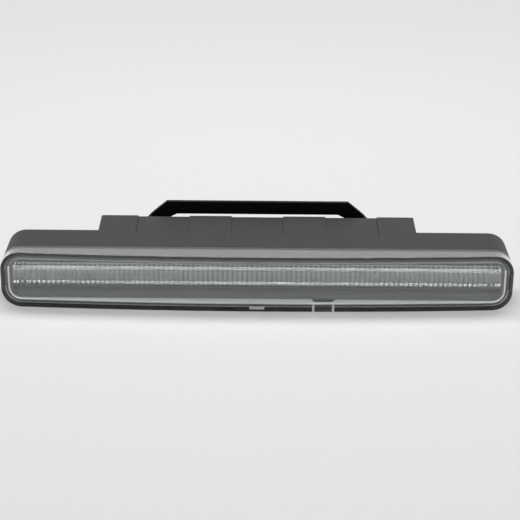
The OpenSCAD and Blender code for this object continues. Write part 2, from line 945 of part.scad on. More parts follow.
module threaded_inserts() {
  color([0.78, 0.62, 0.28]) placed() {
    for (s = [-1, 1]) {
      translate([s * insert_x, 0, 0]) difference() {
        rod_y(insert_d, block_back - insert_len, block_back);
        rod_y(screw_d + hole_fit, block_back - insert_len - over, block_back + over);
      }
    }
  }
}

// One quarter of a folded sheet's bend, with its middle at the origin
module bend_quarter(sx, sy) {
  r = fold_r + sheet_t;
  intersection() {
    difference() {
      circle(r = r);
      circle(r = fold_r);
    }
    translate([min(0, sx * r), min(0, sy * r)]) square([r, r]);
  }
}

// The bracket seen from above: feet on the block, folded back to the plate
module bracket_plan() {
  lap = 0.02;
  foot_end = fold_x + foot_w;
  foot_bend_x = fold_x + fold_r;
  web_half = fold_x - sheet_t - fold_r;
  ear_start = block_back + sheet_t + fold_r;
  ear_len = standoff - sheet_t - 2 * fold_r;
  translate([-web_half - lap, plate_front]) square([2 * (web_half + lap), sheet_t]);
  for (s = [-1, 1]) {
    translate([s * (foot_bend_x + foot_end - lap) / 2, block_back + sheet_t / 2]) {
      square([foot_end - foot_bend_x + lap, sheet_t], center = true);
    }
    translate([s * foot_bend_x, ear_start]) bend_quarter(-s, -1);
    translate([s * (fold_x - sheet_t / 2), ear_start + ear_len / 2]) {
      square([sheet_t, ear_len + 2 * lap], center = true);
    }
    translate([s * web_half, plate_front - fold_r]) bend_quarter(s, 1);
  }
}

// The bracket seen from the front: a flat top, sloping shoulders and two feet with round tips
module bracket_front() {
  top_half = arch_top_w / 2;
  foot_top = foot_h / 2;
  shoulder_x = top_half + (arch_top_z - foot_top) * leg_slope;
  tip_r = 3;
  tip_x = fold_x + foot_w - tip_r;
  tip_z = foot_top - tip_r;
  steps = 5;
  // Each tip has its side, its height and the angle at which its arc starts
  tips = [[1, 1, 90], [1, -1, 0], [-1, -1, -90], [-1, 1, -180]];
  polygon(concat(
    [[-top_half, arch_top_z], [top_half, arch_top_z], [shoulder_x, foot_top]],
    [
      for (t = tips, i = [0:steps])
        let (a = t[2] - 90 * i / steps)
        [t[0] * tip_x + tip_r * cos(a), t[1] * tip_z + tip_r * sin(a)]
    ],
    [[-shoulder_x, foot_top]]
  ));
}

module arch_window() {
  corner = 1.8;
  top_half = arch_top_w / 2 + arch_beam_h * leg_slope - leg_w;
  bottom_half = top_half + window_h * leg_slope;
  hull() {
    for (s = [-1, 1]) {
      translate([s * (top_half - corner * 0.6), window_top_z - corner]) circle(r = corner, $fn = 32);
      translate([s * (bottom_half - corner * 1.8), window_bottom_z + corner]) circle(r = corner, $fn = 32);
    }
  }
}

module slotted_hole(x, z) {
  reach = (slot_len - slot_w) / 2;
  translate([x, 0, z]) {
    for (s = [-1, 1]) {
      translate([s * reach, 0, 0]) rod_y(slot_w, plate_front - over, plate_back + over);
    }
    translate([0, (plate_front + plate_back) / 2, 0]) {
      cube([2 * reach, sheet_t + 2 * over, slot_w], center = true);
    }
  }
}

module mounting_bracket() {
  color([0.05, 0.05, 0.05]) placed() difference() {
    intersection() {
      translate([0, 0, -lamp_h]) linear_extrude(height = 2 * lamp_h) bracket_plan();
      along_y(block_back - over, plate_back + over) bracket_front();
    }
    along_y(plate_front - over, plate_back + over) arch_window();
    for (s = [-1, 1]) {
      slotted_hole(s * slot_spacing / 2, slot_z);
      translate([s * insert_x, 0, 0]) rod_y(screw_d + 0.5, block_back - over, block_back + sheet_t + over);
    }
  }
}

washer_seat = block_back + sheet_t;
head_seat = washer_seat + washer_t;

module bracket_washers() {
  color([0.62, 0.62, 0.64]) placed() {
    for (s = [-1, 1]) {
      translate([s * insert_x, 0, 0]) difference() {
        rod_y(screw_head_d + 0.5, washer_seat, head_seat);
        rod_y(screw_d + 0.3, washer_seat - over, head_seat + over);
      }
    }
  }
}

module bracket_screws() {
  hex_d = 3.6;
  color([0.30, 0.30, 0.31]) placed() {
    for (s = [-1, 1]) {
      translate([s * insert_x, 0, 0]) difference() {
        union() {
          rod_y(screw_head_d, head_seat, head_seat + screw_head_h);
          rod_y(screw_d, head_seat - screw_len, head_seat + 0.2);
        }
        translate([0, head_seat + screw_head_h + over, 0]) rotate([90, 0, 0]) {
          cylinder(d = hex_d, h = 2 + over, $fn = 6);
        }
      }
    }
  }
}

rear_housing();
cover_lens();
lens_seal();
trim_frame();
bar_carrier();
light_bar();
led_board();
leds();
board_resistors();
thermal_pad();
heat_sink();
board_screws();
driver_board();
driver_screws();
filter_inductor();
filter_capacitors();
driver_chip();
protection_diodes();
supply_header();
link_header();
link_pins();
cable_grommet();
vent_cap();
vent_membrane();
threaded_inserts();
mounting_bracket();
bracket_washers();
bracket_screws();
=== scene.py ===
# A daytime running light: a clear bowed cover over a fluted light bar, a deep moulded
# housing and a folded steel bracket, on a pale studio floor.

from math import asin, atan2, cos, pi, radians, sin, sqrt

import bmesh
import bpy
from mathutils import Matrix, Quaternion, Vector


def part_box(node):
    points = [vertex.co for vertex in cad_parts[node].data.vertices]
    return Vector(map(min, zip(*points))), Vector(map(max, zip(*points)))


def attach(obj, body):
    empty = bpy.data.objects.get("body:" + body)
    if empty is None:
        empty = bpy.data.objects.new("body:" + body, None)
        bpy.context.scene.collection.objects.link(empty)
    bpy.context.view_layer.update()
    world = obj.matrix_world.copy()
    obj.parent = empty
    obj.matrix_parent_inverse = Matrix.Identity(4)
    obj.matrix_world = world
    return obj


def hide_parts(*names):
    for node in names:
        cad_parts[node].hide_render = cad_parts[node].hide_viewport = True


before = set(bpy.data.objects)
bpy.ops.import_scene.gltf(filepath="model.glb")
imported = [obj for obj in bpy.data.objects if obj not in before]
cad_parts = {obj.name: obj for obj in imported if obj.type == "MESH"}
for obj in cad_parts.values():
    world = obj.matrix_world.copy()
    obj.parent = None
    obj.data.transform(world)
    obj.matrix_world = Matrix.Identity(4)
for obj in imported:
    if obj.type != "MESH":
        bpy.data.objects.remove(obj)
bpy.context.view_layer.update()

MM = 0.001

# Sizes in millimetres that follow from the frame. Depths are counted from the seam between cover and
# housing, along Y, and the front is negative.


def box_mm(node):
    """A node's lowest and highest corners in millimetres."""
    return [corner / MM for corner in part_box(node)]


cover_low, cover_high = box_mm("cover_lens")
TONGUE_DEPTH = 2.4
SEAM_Y = cover_high.y - TONGUE_DEPTH
LAMP_W = cover_high.x - cover_low.x
LAMP_H = cover_high.z - cover_low.z
MID_Z = (cover_high.z + cover_low.z) / 2
FRONT = cover_low.y - SEAM_Y
CORNER_R = 8.5
BOW = 3.5
BOW_R = ((LAMP_W / 2) ** 2 + BOW**2) / (2 * BOW)
STRAIGHT = LAMP_W / 2 - CORNER_R
WALL = 1.8
# The bottom latch stands off the middle, and its tab reaches this far to either side
LATCH_X = 28.5
LATCH_HALF = 4.25


def bow(x):
    """How far the bowed front has fallen back at x."""
    return BOW_R - sqrt(BOW_R**2 - x * x)


# Materials


def linear(hex_colour):
    """Turns an sRGB hex colour into a linear one with full alpha."""
    shares = [int(hex_colour[i : i + 2], 16) / 255 for i in (1, 3, 5)]
    return [s / 12.92 if s <= 0.04045 else ((s + 0.055) / 1.055) ** 2.4 for s in shares] + [1.0]


def add(material, kind, settings=None, links=None):
    """Adds a node. A setting is a property, or an input by its name or number. A link feeds an input."""
    new = material.node_tree.nodes.new(kind)
    for name, value in (settings or {}).items():
        if isinstance(name, int) or name in new.inputs:
            new.inputs[name].default_value = value
        else:
            setattr(new, name, value)
    for name, source in (links or {}).items():
        material.node_tree.links.new(source, new.inputs[name])
    return new


def blank_material(name):
    """A material without nodes, and the Object coordinates for its patterns."""
    material = bpy.data.materials.new(name)
    material.use_nodes = True
    material.node_tree.nodes.clear()
    return material, add(material, "ShaderNodeTexCoord").outputs["Object"]


def finish_material(material, shader):
    add(material, "ShaderNodeOutputMaterial", links={"Surface": shader})
    return material


def moulded(name, shade, dark, roughness, grain_mm, grain_depth_mm, shine=0.5, metallic=0.0):
    """A moulded or coated surface: its colour clouds a little, and a fine grain breaks its gloss."""
    m, place = blank_material(name)
    clouds = add(m, "ShaderNodeTexNoise", {"Scale": 1 / (14 * MM), "Detail": 3.0}, {"Vector": place})
    grain = add(m, "ShaderNodeTexNoise", {"Scale": 1 / (grain_mm * MM), "Detail": 2.0}, {"Vector": place})
    colour = add(
        m, "ShaderNodeMix", {"data_type": "RGBA", 6: linear(dark), 7: linear(shade)}, {0: clouds.outputs["Fac"]}
    )
    gloss = add(
        m,
        "ShaderNodeMapRange",
        {"To Min": roughness - 0.08, "To Max": roughness + 0.08},
        {"Value": grain.outputs["Fac"]},
    )
    bump = add(
        m,
        "ShaderNodeBump",
        {"Strength": 0.4, "Distance": grain_depth_mm * MM},
        {"Height": grain.outputs["Fac"]},
    )
    body = add(
        m,
        "ShaderNodeBsdfPrincipled",
        {"Specular IOR Level": shine, "Metallic": metallic},
        {"Base Color": colour.outputs[2], "Roughness": gloss.outputs[0], "Normal": bump.outputs[0]},
    )
    return finish_material(m, body.outputs[0])


def clear(name, tint, roughness, ior, coat=0.0, painted_groove_shade=None):
    """Clear moulded plastic. Lamps shine straight through it, so that what lies behind is lit.

    A coat is the index of a glossier skin. The painted groove shade is a darker tint painted between ribs as
    shade, given with their pitch in mm along X."""
    m, place = blank_material(name)
    flow = add(m, "ShaderNodeTexNoise", {"Scale": 1 / (24 * MM), "Detail": 1.0}, {"Vector": place})
    bump = add(
        m, "ShaderNodeBump", {"Strength": 0.1, "Distance": 0.05 * MM}, {"Height": flow.outputs["Fac"]}
    )
    settings = {"Base Color": linear(tint), "Roughness": roughness, "IOR": ior, "Transmission Weight": 1.0}
    links = {"Normal": bump.outputs[0]}
    if coat:
        settings.update({"Coat Weight": 1.0, "Coat IOR": coat, "Coat Roughness": 0.08})
    if painted_groove_shade:
        dark, pitch = painted_groove_shade
        # The tint darkens where the ribs meet: painted shade in the grooves
        along = add(m, "ShaderNodeSeparateXYZ", None, {"Vector": place})
        count = add(m, "ShaderNodeMath", {"operation": "DIVIDE", 1: pitch * MM}, {0: along.outputs["X"]})
        phase = add(m, "ShaderNodeMath", {"operation": "FRACT"}, {0: count.outputs[0]})
        off = add(m, "ShaderNodeMath", {"operation": "SUBTRACT", 1: 0.5}, {0: phase.outputs[0]})
        near = add(m, "ShaderNodeMath", {"operation": "ABSOLUTE"}, {0: off.outputs[0]})
        groove_shade_band = add(m, "ShaderNodeMapRange", {"From Min": 0.22, "From Max": 0.42}, {"Value": near.outputs[0]})
        rib_shade = add(
            m, "ShaderNodeMix", {"data_type": "RGBA", 6: linear(tint), 7: linear(dark)}, {0: groove_shade_band.outputs[0]}
        )
        links["Base Color"] = rib_shade.outputs[2]
    body = add(m, "ShaderNodeBsdfPrincipled", settings, links)
    straight_on = add(m, "ShaderNodeBsdfTransparent", {"Color": linear(tint)})
    path = add(m, "ShaderNodeLightPath")
    both = add(
        m,
        "ShaderNodeMixShader",
        None,
        {0: path.outputs["Is Shadow Ray"], 1: body.outputs[0], 2: straight_on.outputs[0]},
    )
    return finish_material(m, both.outputs[0])


def metal(name, shade, dark, roughness, streak_mm):
    """A bare or plated metal face: fine streaks in its gloss and a faint change of colour."""
    m, place = blank_material(name)
    streaks = add(m, "ShaderNodeTexNoise", {"Scale": 1 / (streak_mm * MM), "Detail": 4.0}, {"Vector": place})
    colour = add(
        m, "ShaderNodeMix", {"data_type": "RGBA", 6: linear(dark), 7: linear(shade)}, {0: streaks.outputs["Fac"]}
    )
    gloss = add(
        m,
        "ShaderNodeMapRange",
        {"To Min": roughness - 0.06, "To Max": roughness + 0.1},
        {"Value": streaks.outputs["Fac"]},
    )
    body = add(
        m,
        "ShaderNodeBsdfPrincipled",
        {"Metallic": 1.0},
        {"Base Color": colour.outputs[2], "Roughness": gloss.outputs[0]},
    )
    return finish_material(m, body.outputs[0])


# Mineral-filled polypropylene, moulded in a spark-eroded tool: an even, slightly warm dark grey
housing_plastic = moulded("moulded_polypropylene", "#3c3c39", "#363634", 0.5, 0.8, 0.03, shine=0.15)
# ABS, moulded: a neutral mid grey with a soft gloss
carrier_plastic = moulded("moulded_abs", "#5a5c5d", "#505253", 0.38, 0.6, 0.015, shine=0.3)
# Clear polycarbonate, moulded in a polished tool: glassy, with a high index
cover_plastic = clear("clear_polycarbonate", "#fafcfc", 0.0, 1.58)
# Clear acrylic, moulded: a bright skin, with a darker tint painted where its ribs meet as shade in the grooves
RIB_PITCH = 2.1
bar_plastic = clear("clear_acrylic_painted_groove_shade", "#fcfefe", 0.0, 1.49, coat=1.8, painted_groove_shade=("#868d8d", RIB_PITCH))
# Where the snap latches and the gate meet the cover, its polycarbonate is frosted
frosted_plastic = moulded("frosted_polycarbonate", "#d9dcdc", "#cfd2d2", 0.5, 0.4, 0.01)
# ABS with a satin silver lacquer: pale grey, half way between paint and metal
bright_plastic = moulded("silver_lacquered_abs", "#eeefef", "#e6e8e8", 0.35, 0.3, 0.004, metallic=0.2)
# The same ABS left bare, a plain satin grey. On the trim's upper front edge the same grey is painted shade
grey_abs_and_painted_shade = moulded("satin_grey_abs_and_painted_shade", "#7c7e7f", "#747677", 0.45, 0.4, 0.006, shine=0.3)
# White and green solder mask: smooth lacquer on glass-fibre board
white_mask = moulded("white_solder_mask", "#d6d8d4", "#cbcec9", 0.4, 0.5, 0.004)
green_mask = moulded("green_solder_mask", "#1f5a37", "#184b2d", 0.35, 0.5, 0.004)
# Silicone resin with a thin phosphor: pale straw while the lamp is off
led_resin = moulded("phosphor_resin", "#d9d3b4", "#ccc5a2", 0.35, 0.4, 0.004)
# Moulded epoxy: the black of chip bodies, faintly matt
chip_epoxy = moulded("moulded_epoxy", "#1d1d1f", "#171719", 0.45, 0.3, 0.006)
# Silicone rubber: matt and nearly black
seal_rubber = moulded("silicone_rubber", "#171718", "#121213", 0.72, 0.5, 0.01)
# Filled silicone sheet: a dull blue grey
pad_silicone = moulded("filled_silicone_sheet", "#8c9cae", "#7f8fa2", 0.8, 0.4, 0.01)
# Natural nylon: off-white and faintly waxy
header_nylon = moulded("natural_nylon", "#e4e4da", "#d9d9cd", 0.45, 0.5, 0.006)
# Stretched PTFE film: white and quite matt
membrane_film = moulded("porous_ptfe_film", "#ecece8", "#e0e0dc", 0.85, 0.3, 0.01)
# Sintered ferrite: a dull dark grey, like fine ceramic
coil_ferrite = moulded("sintered_ferrite", "#38383c", "#2e2e32", 0.6, 0.4, 0.01)
# Powder coat on folded sheet: black, with a fine orange peel
bracket_coat = moulded("powder_coated_steel", "#0c0c0b", "#090909", 0.5, 0.9, 0.02, shine=0.08)
# Extruded aluminium: soft bright grey with die lines
sink_aluminium = metal("extruded_aluminium", "#b9bbbe", "#a9abae", 0.36, 0.8)
# Drawn aluminium cans: smooth and bright
can_aluminium = metal("drawn_aluminium", "#c8cacd", "#bcbec1", 0.25, 1)
# Zinc-plated steel: cool grey with a fine satin
plated_steel = metal("zinc_plated_steel", "#a9aaac", "#98999b", 0.3, 0.9)
# Turned brass: warm yellow with tool marks
turned_brass = metal("turned_brass", "#c9a24c", "#b58f3e", 0.28, 0.7)

NODE_MATERIALS = {
    "lens_seal": seal_rubber,
    "led_board": white_mask,
    "leds": led_resin,
    "board_resistors": chip_epoxy,
    "thermal_pad": pad_silicone,
    "heat_sink": sink_aluminium,
    "board_screws": plated_steel,
    "driver_board": green_mask,
    "driver_screws": plated_steel,
    "filter_inductor": coil_ferrite,
    "filter_capacitors": can_aluminium,
    "driver_chip": chip_epoxy,
    "protection_diodes": chip_epoxy,
    "supply_header": header_nylon,
    "link_header": header_nylon,
    "link_pins": turned_brass,
    "vent_membrane": membrane_film,
    "threaded_inserts": turned_brass,
}
for node_name, node_material in NODE_MATERIALS.items():
    node_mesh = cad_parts[node_name].data
    node_mesh.materials.clear()
    node_mesh.materials.append(node_material)


# Modelling

# The pieces are modelled in millimetres, where the operators match points best, and scaled at the end


def even_normals(piece, keep_creases):
    """Shades smooth, by face area. Creases stay crisp on a piece whose edges are not softened."""
    if keep_creases:
        piece.data.set_sharp_from_angle(angle=radians(35))
    piece.modifiers.new("even normals", "WEIGHTED_NORMAL").keep_sharp = keep_creases


def finish_piece(name, bm, materials, node, edge_mm=0.0):
    """Makes a smooth-shaded piece from a bmesh, softens its edges, and lets it stand for its CAD node."""
    bmesh.ops.recalc_face_normals(bm, faces=bm.faces)
    if bm.calc_volume(signed=True) < 0:
        bmesh.ops.reverse_faces(bm, faces=bm.faces)
    bmesh.ops.scale(bm, vec=(MM, MM, MM), verts=bm.verts)
    mesh = bpy.data.meshes.new(name)
    bm.to_mesh(mesh)
    bm.free()
    for material in materials:
        mesh.materials.append(material)
    mesh.shade_smooth()
    piece = bpy.data.objects.new(name, mesh)
    bpy.context.scene.collection.objects.link(piece)
    if edge_mm:
        soften = piece.modifiers.new("softened edges", "BEVEL")
        soften.width = edge_mm * MM
        soften.segments = 2
        soften.limit_method = "ANGLE"
        soften.angle_limit = radians(35)
    even_normals(piece, not edge_mm)
    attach(piece, "root")
    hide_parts(node)
    return piece


def rounded_face(bm, width, height, radius, y):
    """One upright face with round corners, centred on the lamp."""
    before = set(bm.verts)
    corners = bmesh.ops.create_grid(bm, x_segments=1, y_segments=1, size=0.5)["verts"]
    bmesh.ops.scale(bm, vec=(width, height, 1), verts=corners)
    bmesh.ops.rotate(bm, matrix=Matrix.Rotation(pi / 2, 3, "X"), verts=corners)
    bmesh.ops.translate(bm, vec=(0, y, MID_Z), verts=corners)
    bmesh.ops.bevel(
        bm, geom=corners, offset=radius, segments=10, profile=0.5, affect="VERTICES", material=-1
    )
    fresh = next(v for v in bm.verts if v not in before)
    return fresh.link_faces[0]


def lamp_section(inset, depth):
    """The lamp's outline moved inwards by inset, as width, height, corner radius and depth."""
    return LAMP_W - 2 * inset, LAMP_H - 2 * inset, CORNER_R - inset, depth


def skin(bm, sections, closed=False):
    """Bridges a row of rounded sections. The first and last stay as caps unless the row is closed.

    The sections stand 10 mm apart while they are bridged, since rims in one plane are matched badly."""
    faces = [rounded_face(bm, *section[:3], 10 * i) for i, section in enumerate(sections)]
    rims = [(list(face.verts), list(face.edges)) for face in faces]
    bmesh.ops.delete(bm, geom=faces if closed else faces[1:-1], context="FACES_ONLY")
    for (_, rim), (_, following) in zip(rims, rims[1:] + rims[:1] * closed):
        bmesh.ops.bridge_loops(bm, edges=rim + following)
    for (verts, _), section in zip(rims, sections):
        for v in verts:
            v.co.y = SEAM_Y + section[3]


def inset_of(v):
    """How far a point stands in from the lamp's outline."""
    past_x = max(abs(v.co.x) - STRAIGHT, 0)
    past_z = max(abs(v.co.z - MID_Z) - LAMP_H / 2 + CORNER_R, 0)
    return CORNER_R - sqrt(past_x**2 + past_z**2)


def cut_at(bm, x):
    geom = bm.verts[:] + bm.edges[:] + bm.faces[:]
    bmesh.ops.bisect_plane(bm, geom=geom, dist=1e-4, plane_co=(x, 0, 0), plane_no=(1, 0, 0))


def bend_front(bm, before_depth):
    """Cuts the mesh across at even steps, and moves what lies in front of a depth onto the bow."""
    for i in range(24):
        cut_at(bm, STRAIGHT * (i - 11.5) / 11.5)
    for v in bm.verts:
        if v.co.y < SEAM_Y + before_depth:
            v.co.y += bow(v.co.x)


def sharp_edges(bm, depth, slack=0.05):
    """The sharp edges of a bowed front that lies at a depth."""
    bmesh.ops.recalc_face_normals(bm, faces=bm.faces)
    return [
        e
        for e in bm.edges
        if len(e.link_faces) == 2
        and e.calc_face_angle() > radians(40)
        and all(abs(v.co.y - bow(v.co.x) - SEAM_Y - depth) < slack for v in e.verts)
    ]


def round_edges(bm, edges, radius, steps):
    bmesh.ops.bevel(
        bm,
        geom=edges,
        offset=radius,
        segments=steps,
        profile=0.5,
        affect="EDGES",
        clamp_overlap=True,
        material=-1,
    )


def box_cutter(low, high, material):
    """A block that is taken away from a piece, whose cut faces get the material."""
    bm = bmesh.new()
    verts = bmesh.ops.create_cube(bm, size=1)["verts"]
    bmesh.ops.scale(bm, vec=[b - a for a, b in zip(low, high)], verts=verts)
    bmesh.ops.translate(bm, vec=[(a + b) / 2 for a, b in zip(low, high)], verts=verts)
    bmesh.ops.scale(bm, vec=(MM, MM, MM), verts=verts)
    mesh = bpy.data.meshes.new("cutter")
    bm.to_mesh(mesh)
    bm.free()
    mesh.materials.append(material)
    cutter = bpy.data.objects.new("cutter", mesh)
    bpy.context.scene.collection.objects.link(cutter)
    return cutter


def take_away(piece, cutters):
    """Cuts the blocks out of a piece for good, and evens its normals again."""
    piece.modifiers.clear()
    for cutter in cutters:
        cut = piece.modifiers.new("cut", "BOOLEAN")
        cut.object = cutter
        cut.operation = "DIFFERENCE"
        cut.solver = "EXACT"
        cut.material_mode = "TRANSFER"
    view = bpy.context.evaluated_depsgraph_get()
    whole = bpy.data.meshes.new_from_object(piece.evaluated_get(view))
    piece.modifiers.clear()
    old, piece.data = piece.data, whole
    whole.name = old.name
    bpy.data.meshes.remove(old)
    for cutter in cutters:
        bpy.data.objects.remove(cutter)
    even_normals(piece, True)


# The clear cover: a block pushed in from behind, with the tongue that stands in the housing's channel

# Its wall ends just short of the seam, and its tongue lies between these two insets
SEAM_GAP = 0.2
TONGUE_OUT = 0.9
TONGUE_IN = 1.75
bm = bmesh.new()
skin(
    bm,
    [
        lamp_section(0, FRONT),
        lamp_section(0, -SEAM_GAP),
        lamp_section(TONGUE_OUT, -SEAM_GAP),
        lamp_section(TONGUE_OUT, TONGUE_DEPTH),
        lamp_section(TONGUE_IN, TONGUE_DEPTH),
        lamp_section(TONGUE_IN, -SEAM_GAP),
        lamp_section(WALL, -SEAM_GAP),
        lamp_section(WALL, FRONT + WALL),
    ],
)
bend_front(bm, FRONT / 2)
round_edges(bm, sharp_edges(bm, FRONT), 0.4, 4)
round_edges(bm, sharp_edges(bm, FRONT + WALL), 0.2, 2)
# Black sealant lies between its back edge and the housing
for face in bm.faces:
    if all(abs(v.co.y - SEAM_Y + SEAM_GAP) < 0.01 for v in face.verts):
        face.material_index = 1
cover = finish_piece("clear_cover", bm, [cover_plastic, seal_rubber], "cover_lens")

# Two slots free each snap tab, at the bottom and at both ends. The frosted sides of the bottom pair,
# and the mark of the gate, show as light lines in the dark border
GATE_HALF = 3.2
SLOT_T = 0.9
BORDER = 3.0
END_SLOT_T = 0.5
END_BORDER = 1.6
END_LATCH_HALF = 3.5
SLOT_FRONT = SEAM_Y + FRONT + WALL - 0.4
SLOT_BACK = SEAM_Y - 1
cuts = [
    box_cutter(
        (-GATE_HALF, SEAM_Y + FRONT - 1, cover_low.z + 1.2),
        (GATE_HALF, SEAM_Y + FRONT + 0.3, cover_low.z + 2.6),
        frosted_plastic,
    )
]
for slot_x in (LATCH_X - LATCH_HALF, LATCH_X + LATCH_HALF):
    cuts.append(
        box_cutter(
            (slot_x - SLOT_T / 2, SLOT_FRONT + bow(slot_x), cover_low.z - 1),
            (slot_x + SLOT_T / 2, SLOT_BACK, cover_low.z + BORDER),
            frosted_plastic,
        )
    )
for side in (-1, 1):
    for slot_z in (MID_Z - END_LATCH_HALF, MID_Z + END_LATCH_HALF):
        reach = sorted((side * (LAMP_W / 2 + 1), side * (LAMP_W / 2 - END_BORDER)))
        cuts.append(
            box_cutter(
                (reach[0], SLOT_FRONT + bow(LAMP_W / 2), slot_z - END_SLOT_T / 2),
                (reach[1], SLOT_BACK, slot_z + END_SLOT_T / 2),
                cover_plastic,
            )
        )
take_away(cover, cuts)


# The bright trim frame, a bowed ring with a notch over the bottom latch

bm = bmesh.new()
TRIM_FRONT = FRONT + WALL
TRIM_BACK = -3.6
skin(
    bm,
    [
        lamp_section(3.0, TRIM_BACK),
        lamp_section(3.0, TRIM_FRONT),
        lamp_section(3.8, TRIM_FRONT),
        lamp_section(3.8, TRIM_BACK),
    ],
    closed=True,
)
bend_front(bm, TRIM_FRONT / 2 + TRIM_BACK / 2)
# At the latch its back edge is drawn forward in two levels
NOTCH_HALF = 3.9
NOTCH_EDGE = 5.1
for off in (-5.15, -5.05, -3.85, 3.85, 5.05, 5.15):
    cut_at(bm, LATCH_X + off)
for v in bm.verts:
    off = abs(v.co.x - LATCH_X)
    low = v.co.z < MID_Z - LAMP_H / 4
    if low and off < NOTCH_EDGE and v.co.y > SEAM_Y + TRIM_BACK - 1e-3:
        v.co.y = SEAM_Y + (-7.7 if off < NOTCH_HALF else -5.2)
# Its outer faces are left bare, a satin grey, and the rest is bright. Its upper front edge gets the same grey as
# painted shade, where the bright ring would reflect dark
for face in bm.faces:
    painted_shade_top = all(v.co.z > MID_Z + 5 for v in face.verts)
    in_front = all(abs(v.co.y - bow(v.co.x) - SEAM_Y - TRIM_FRONT) < 0.1 for v in face.verts)
    outer = all(inset_of(v) < 3.2 for v in face.verts)
    if outer or painted_shade_top and in_front:
        face.material_index = 1
round_edges(bm, sharp_edges(bm, TRIM_FRONT), 0.25, 3)
finish_piece("bright_trim_frame", bm, [bright_plastic, grey_abs_and_painted_shade], "trim_frame")


# The bar carrier: a stepped frame whose opening slopes in to a ledge and a throat

bm = bmesh.new()
OPEN_W = 209.2
skin(
    bm,
    [
        lamp_section(3.0, 5.3),
        lamp_section(3.0, TRIM_BACK),
        lamp_section(3.9, TRIM_BACK),
        lamp_section(3.9, -5.2),
        (OPEN_W, 16.8, 4.15, -5.2),
        (OPEN_W, 15.3, 3.35, -3.5),
        (OPEN_W, 14.6, 3.0, -3.48),
        (OPEN_W, 12.4, 0.5, -1.8),
        (OPEN_W, 12.4, 0.5, 0.1),
        (OPEN_W, 13.8, 0.2, 0.1),
        (OPEN_W, 13.8, 0.2, 5.3),
    ],
    closed=True,
)
finish_piece("bar_carrier_frame", bm, [carrier_plastic], "bar_carrier", 0.12)


# The fluted light bar: one rib is spun as an arc, repeated along X, and the row is spun half round

bar_low, _ = box_mm("light_bar")
BAR_R = 5.6
BAR_AXIS_Y = bar_low.y + BAR_R
FLANGE_FRONT = SEAM_Y + 0.1
FLANGE_BACK = SEAM_Y + 3.0
FLANGE_HALF = 6.8
RIB_DEPTH = 0.4
RIB_END = 98.7
RIB_COUNT = 94
# The bar's plain ends, with two collars each: place along X and fall below the ribs' crests
END_STEPS = (
    (99.0, 0.4),
    (99.0, 1.4),
    (99.9, 1.4),
    (99.9, 0),
    (101.1, 0),
    (101.1, 1.4),
    (102.0, 1.4),
    (102.0, 0),
    (104.5, 0),
)

bm = bmesh.new()
rib_r = (RIB_PITCH**2 / 4 + RIB_DEPTH**2) / (2 * RIB_DEPTH)
rib_angle = 2 * asin(RIB_PITCH / 2 / rib_r)
core = BAR_R - RIB_DEPTH
start = bmesh.ops.create_vert(bm, co=(-RIB_END, BAR_AXIS_Y, MID_Z + core))["vert"]
bmesh.ops.spin(
    bm,
    geom=start,
    cent=(-RIB_END + RIB_PITCH / 2, BAR_AXIS_Y, MID_Z + BAR_R - rib_r),
    axis=(0, 1, 0),
    angle=rib_angle,
    steps=4,
    dvec=(0, 0, 0),
)
first_rib = bm.verts[:] + bm.edges[:]
for i in range(1, RIB_COUNT):
    again = bmesh.ops.duplicate(bm, geom=first_rib)["geom"]
    bmesh.ops.translate(
        bm, vec=(i * RIB_PITCH, 0, 0), verts=[g for g in again if isinstance(g, bmesh.types.BMVert)]
    )
bmesh.ops.remove_doubles(bm, verts=bm.verts, dist=1e-3)
for side in (-1, 1):
    tip = max(bm.verts, key=lambda v: side * v.co.x)
    for x_mm, fall_mm in END_STEPS:
        step = bmesh.ops.extrude_vert_indiv(bm, verts=[tip])["verts"][0]
        step.co = (side * x_mm, BAR_AXIS_Y, MID_Z + BAR_R - fall_mm)
        tip = step
lean = asin((BAR_AXIS_Y - FLANGE_FRONT) / BAR_R)
profile = bm.verts[:] + bm.edges[:]
bmesh.ops.rotate(bm, cent=(0, BAR_AXIS_Y, MID_Z), matrix=Matrix.Rotation(lean, 3, "X"), verts=bm.verts)
bmesh.ops.spin(
    bm,
    geom=profile,
    cent=(0, BAR_AXIS_Y, MID_Z),
    axis=(1, 0, 0),
    angle=pi - 2 * lean,
    steps=22,
    dvec=(0, 0, 0),
)
# Two shallow prism steps run along the bar's back, given as depth and height. Light that comes in from
# the front turns round in them, which gives the bar its dotted bright line and the softer one below
PRISM_BACK = (
    (3.0, 1.15),
    (2.86, 0.99),
    (3.0, 0.2),
    (2.21, 0.06),
    (3.0, -0.12),
    (3.0, -2.4),
    (2.74, -2.68),
    (3.0, -3.05),
    (2.63, -3.31),
    (3.0, -3.6),
)
back_rims = []
for up in (1, -1):
    rim = [
        e
        for e in bm.edges
        if len(e.link_faces) == 1
        and all(abs(atan2(BAR_AXIS_Y - v.co.y, up * (v.co.z - MID_Z)) - lean) < 0.01 for v in e.verts)
    ]
    steps = [(FLANGE_FRONT, up * FLANGE_HALF), (FLANGE_BACK, up * FLANGE_HALF)]
    if up == 1:
        steps += [(SEAM_Y + y, z) for y, z in PRISM_BACK]
    for y, z in steps:
        grown = bmesh.ops.extrude_edge_only(bm, edges=rim)["geom"]
        for v in grown:
            if isinstance(v, bmesh.types.BMVert):
                v.co.y, v.co.z = y, MID_Z + z
        rim = [e for e in grown if isinstance(e, bmesh.types.BMEdge) and len(e.link_faces) == 1]
        rim = [e for e in rim if all(abs(v.co.y - y) + abs(v.co.z - MID_Z - z) < 1e-4 for v in e.verts)]
    back_rims += rim
bmesh.ops.bridge_loops(bm, edges=back_rims)
open_ends = [e for e in bm.edges if len(e.link_faces) == 1]
bmesh.ops.holes_fill(bm, edges=open_ends, sides=0)
finish_piece("fluted_light_bar", bm, [bar_plastic], "light_bar")


# Rigid parts whose solid shape is right get a copy with merged faces and soft edges


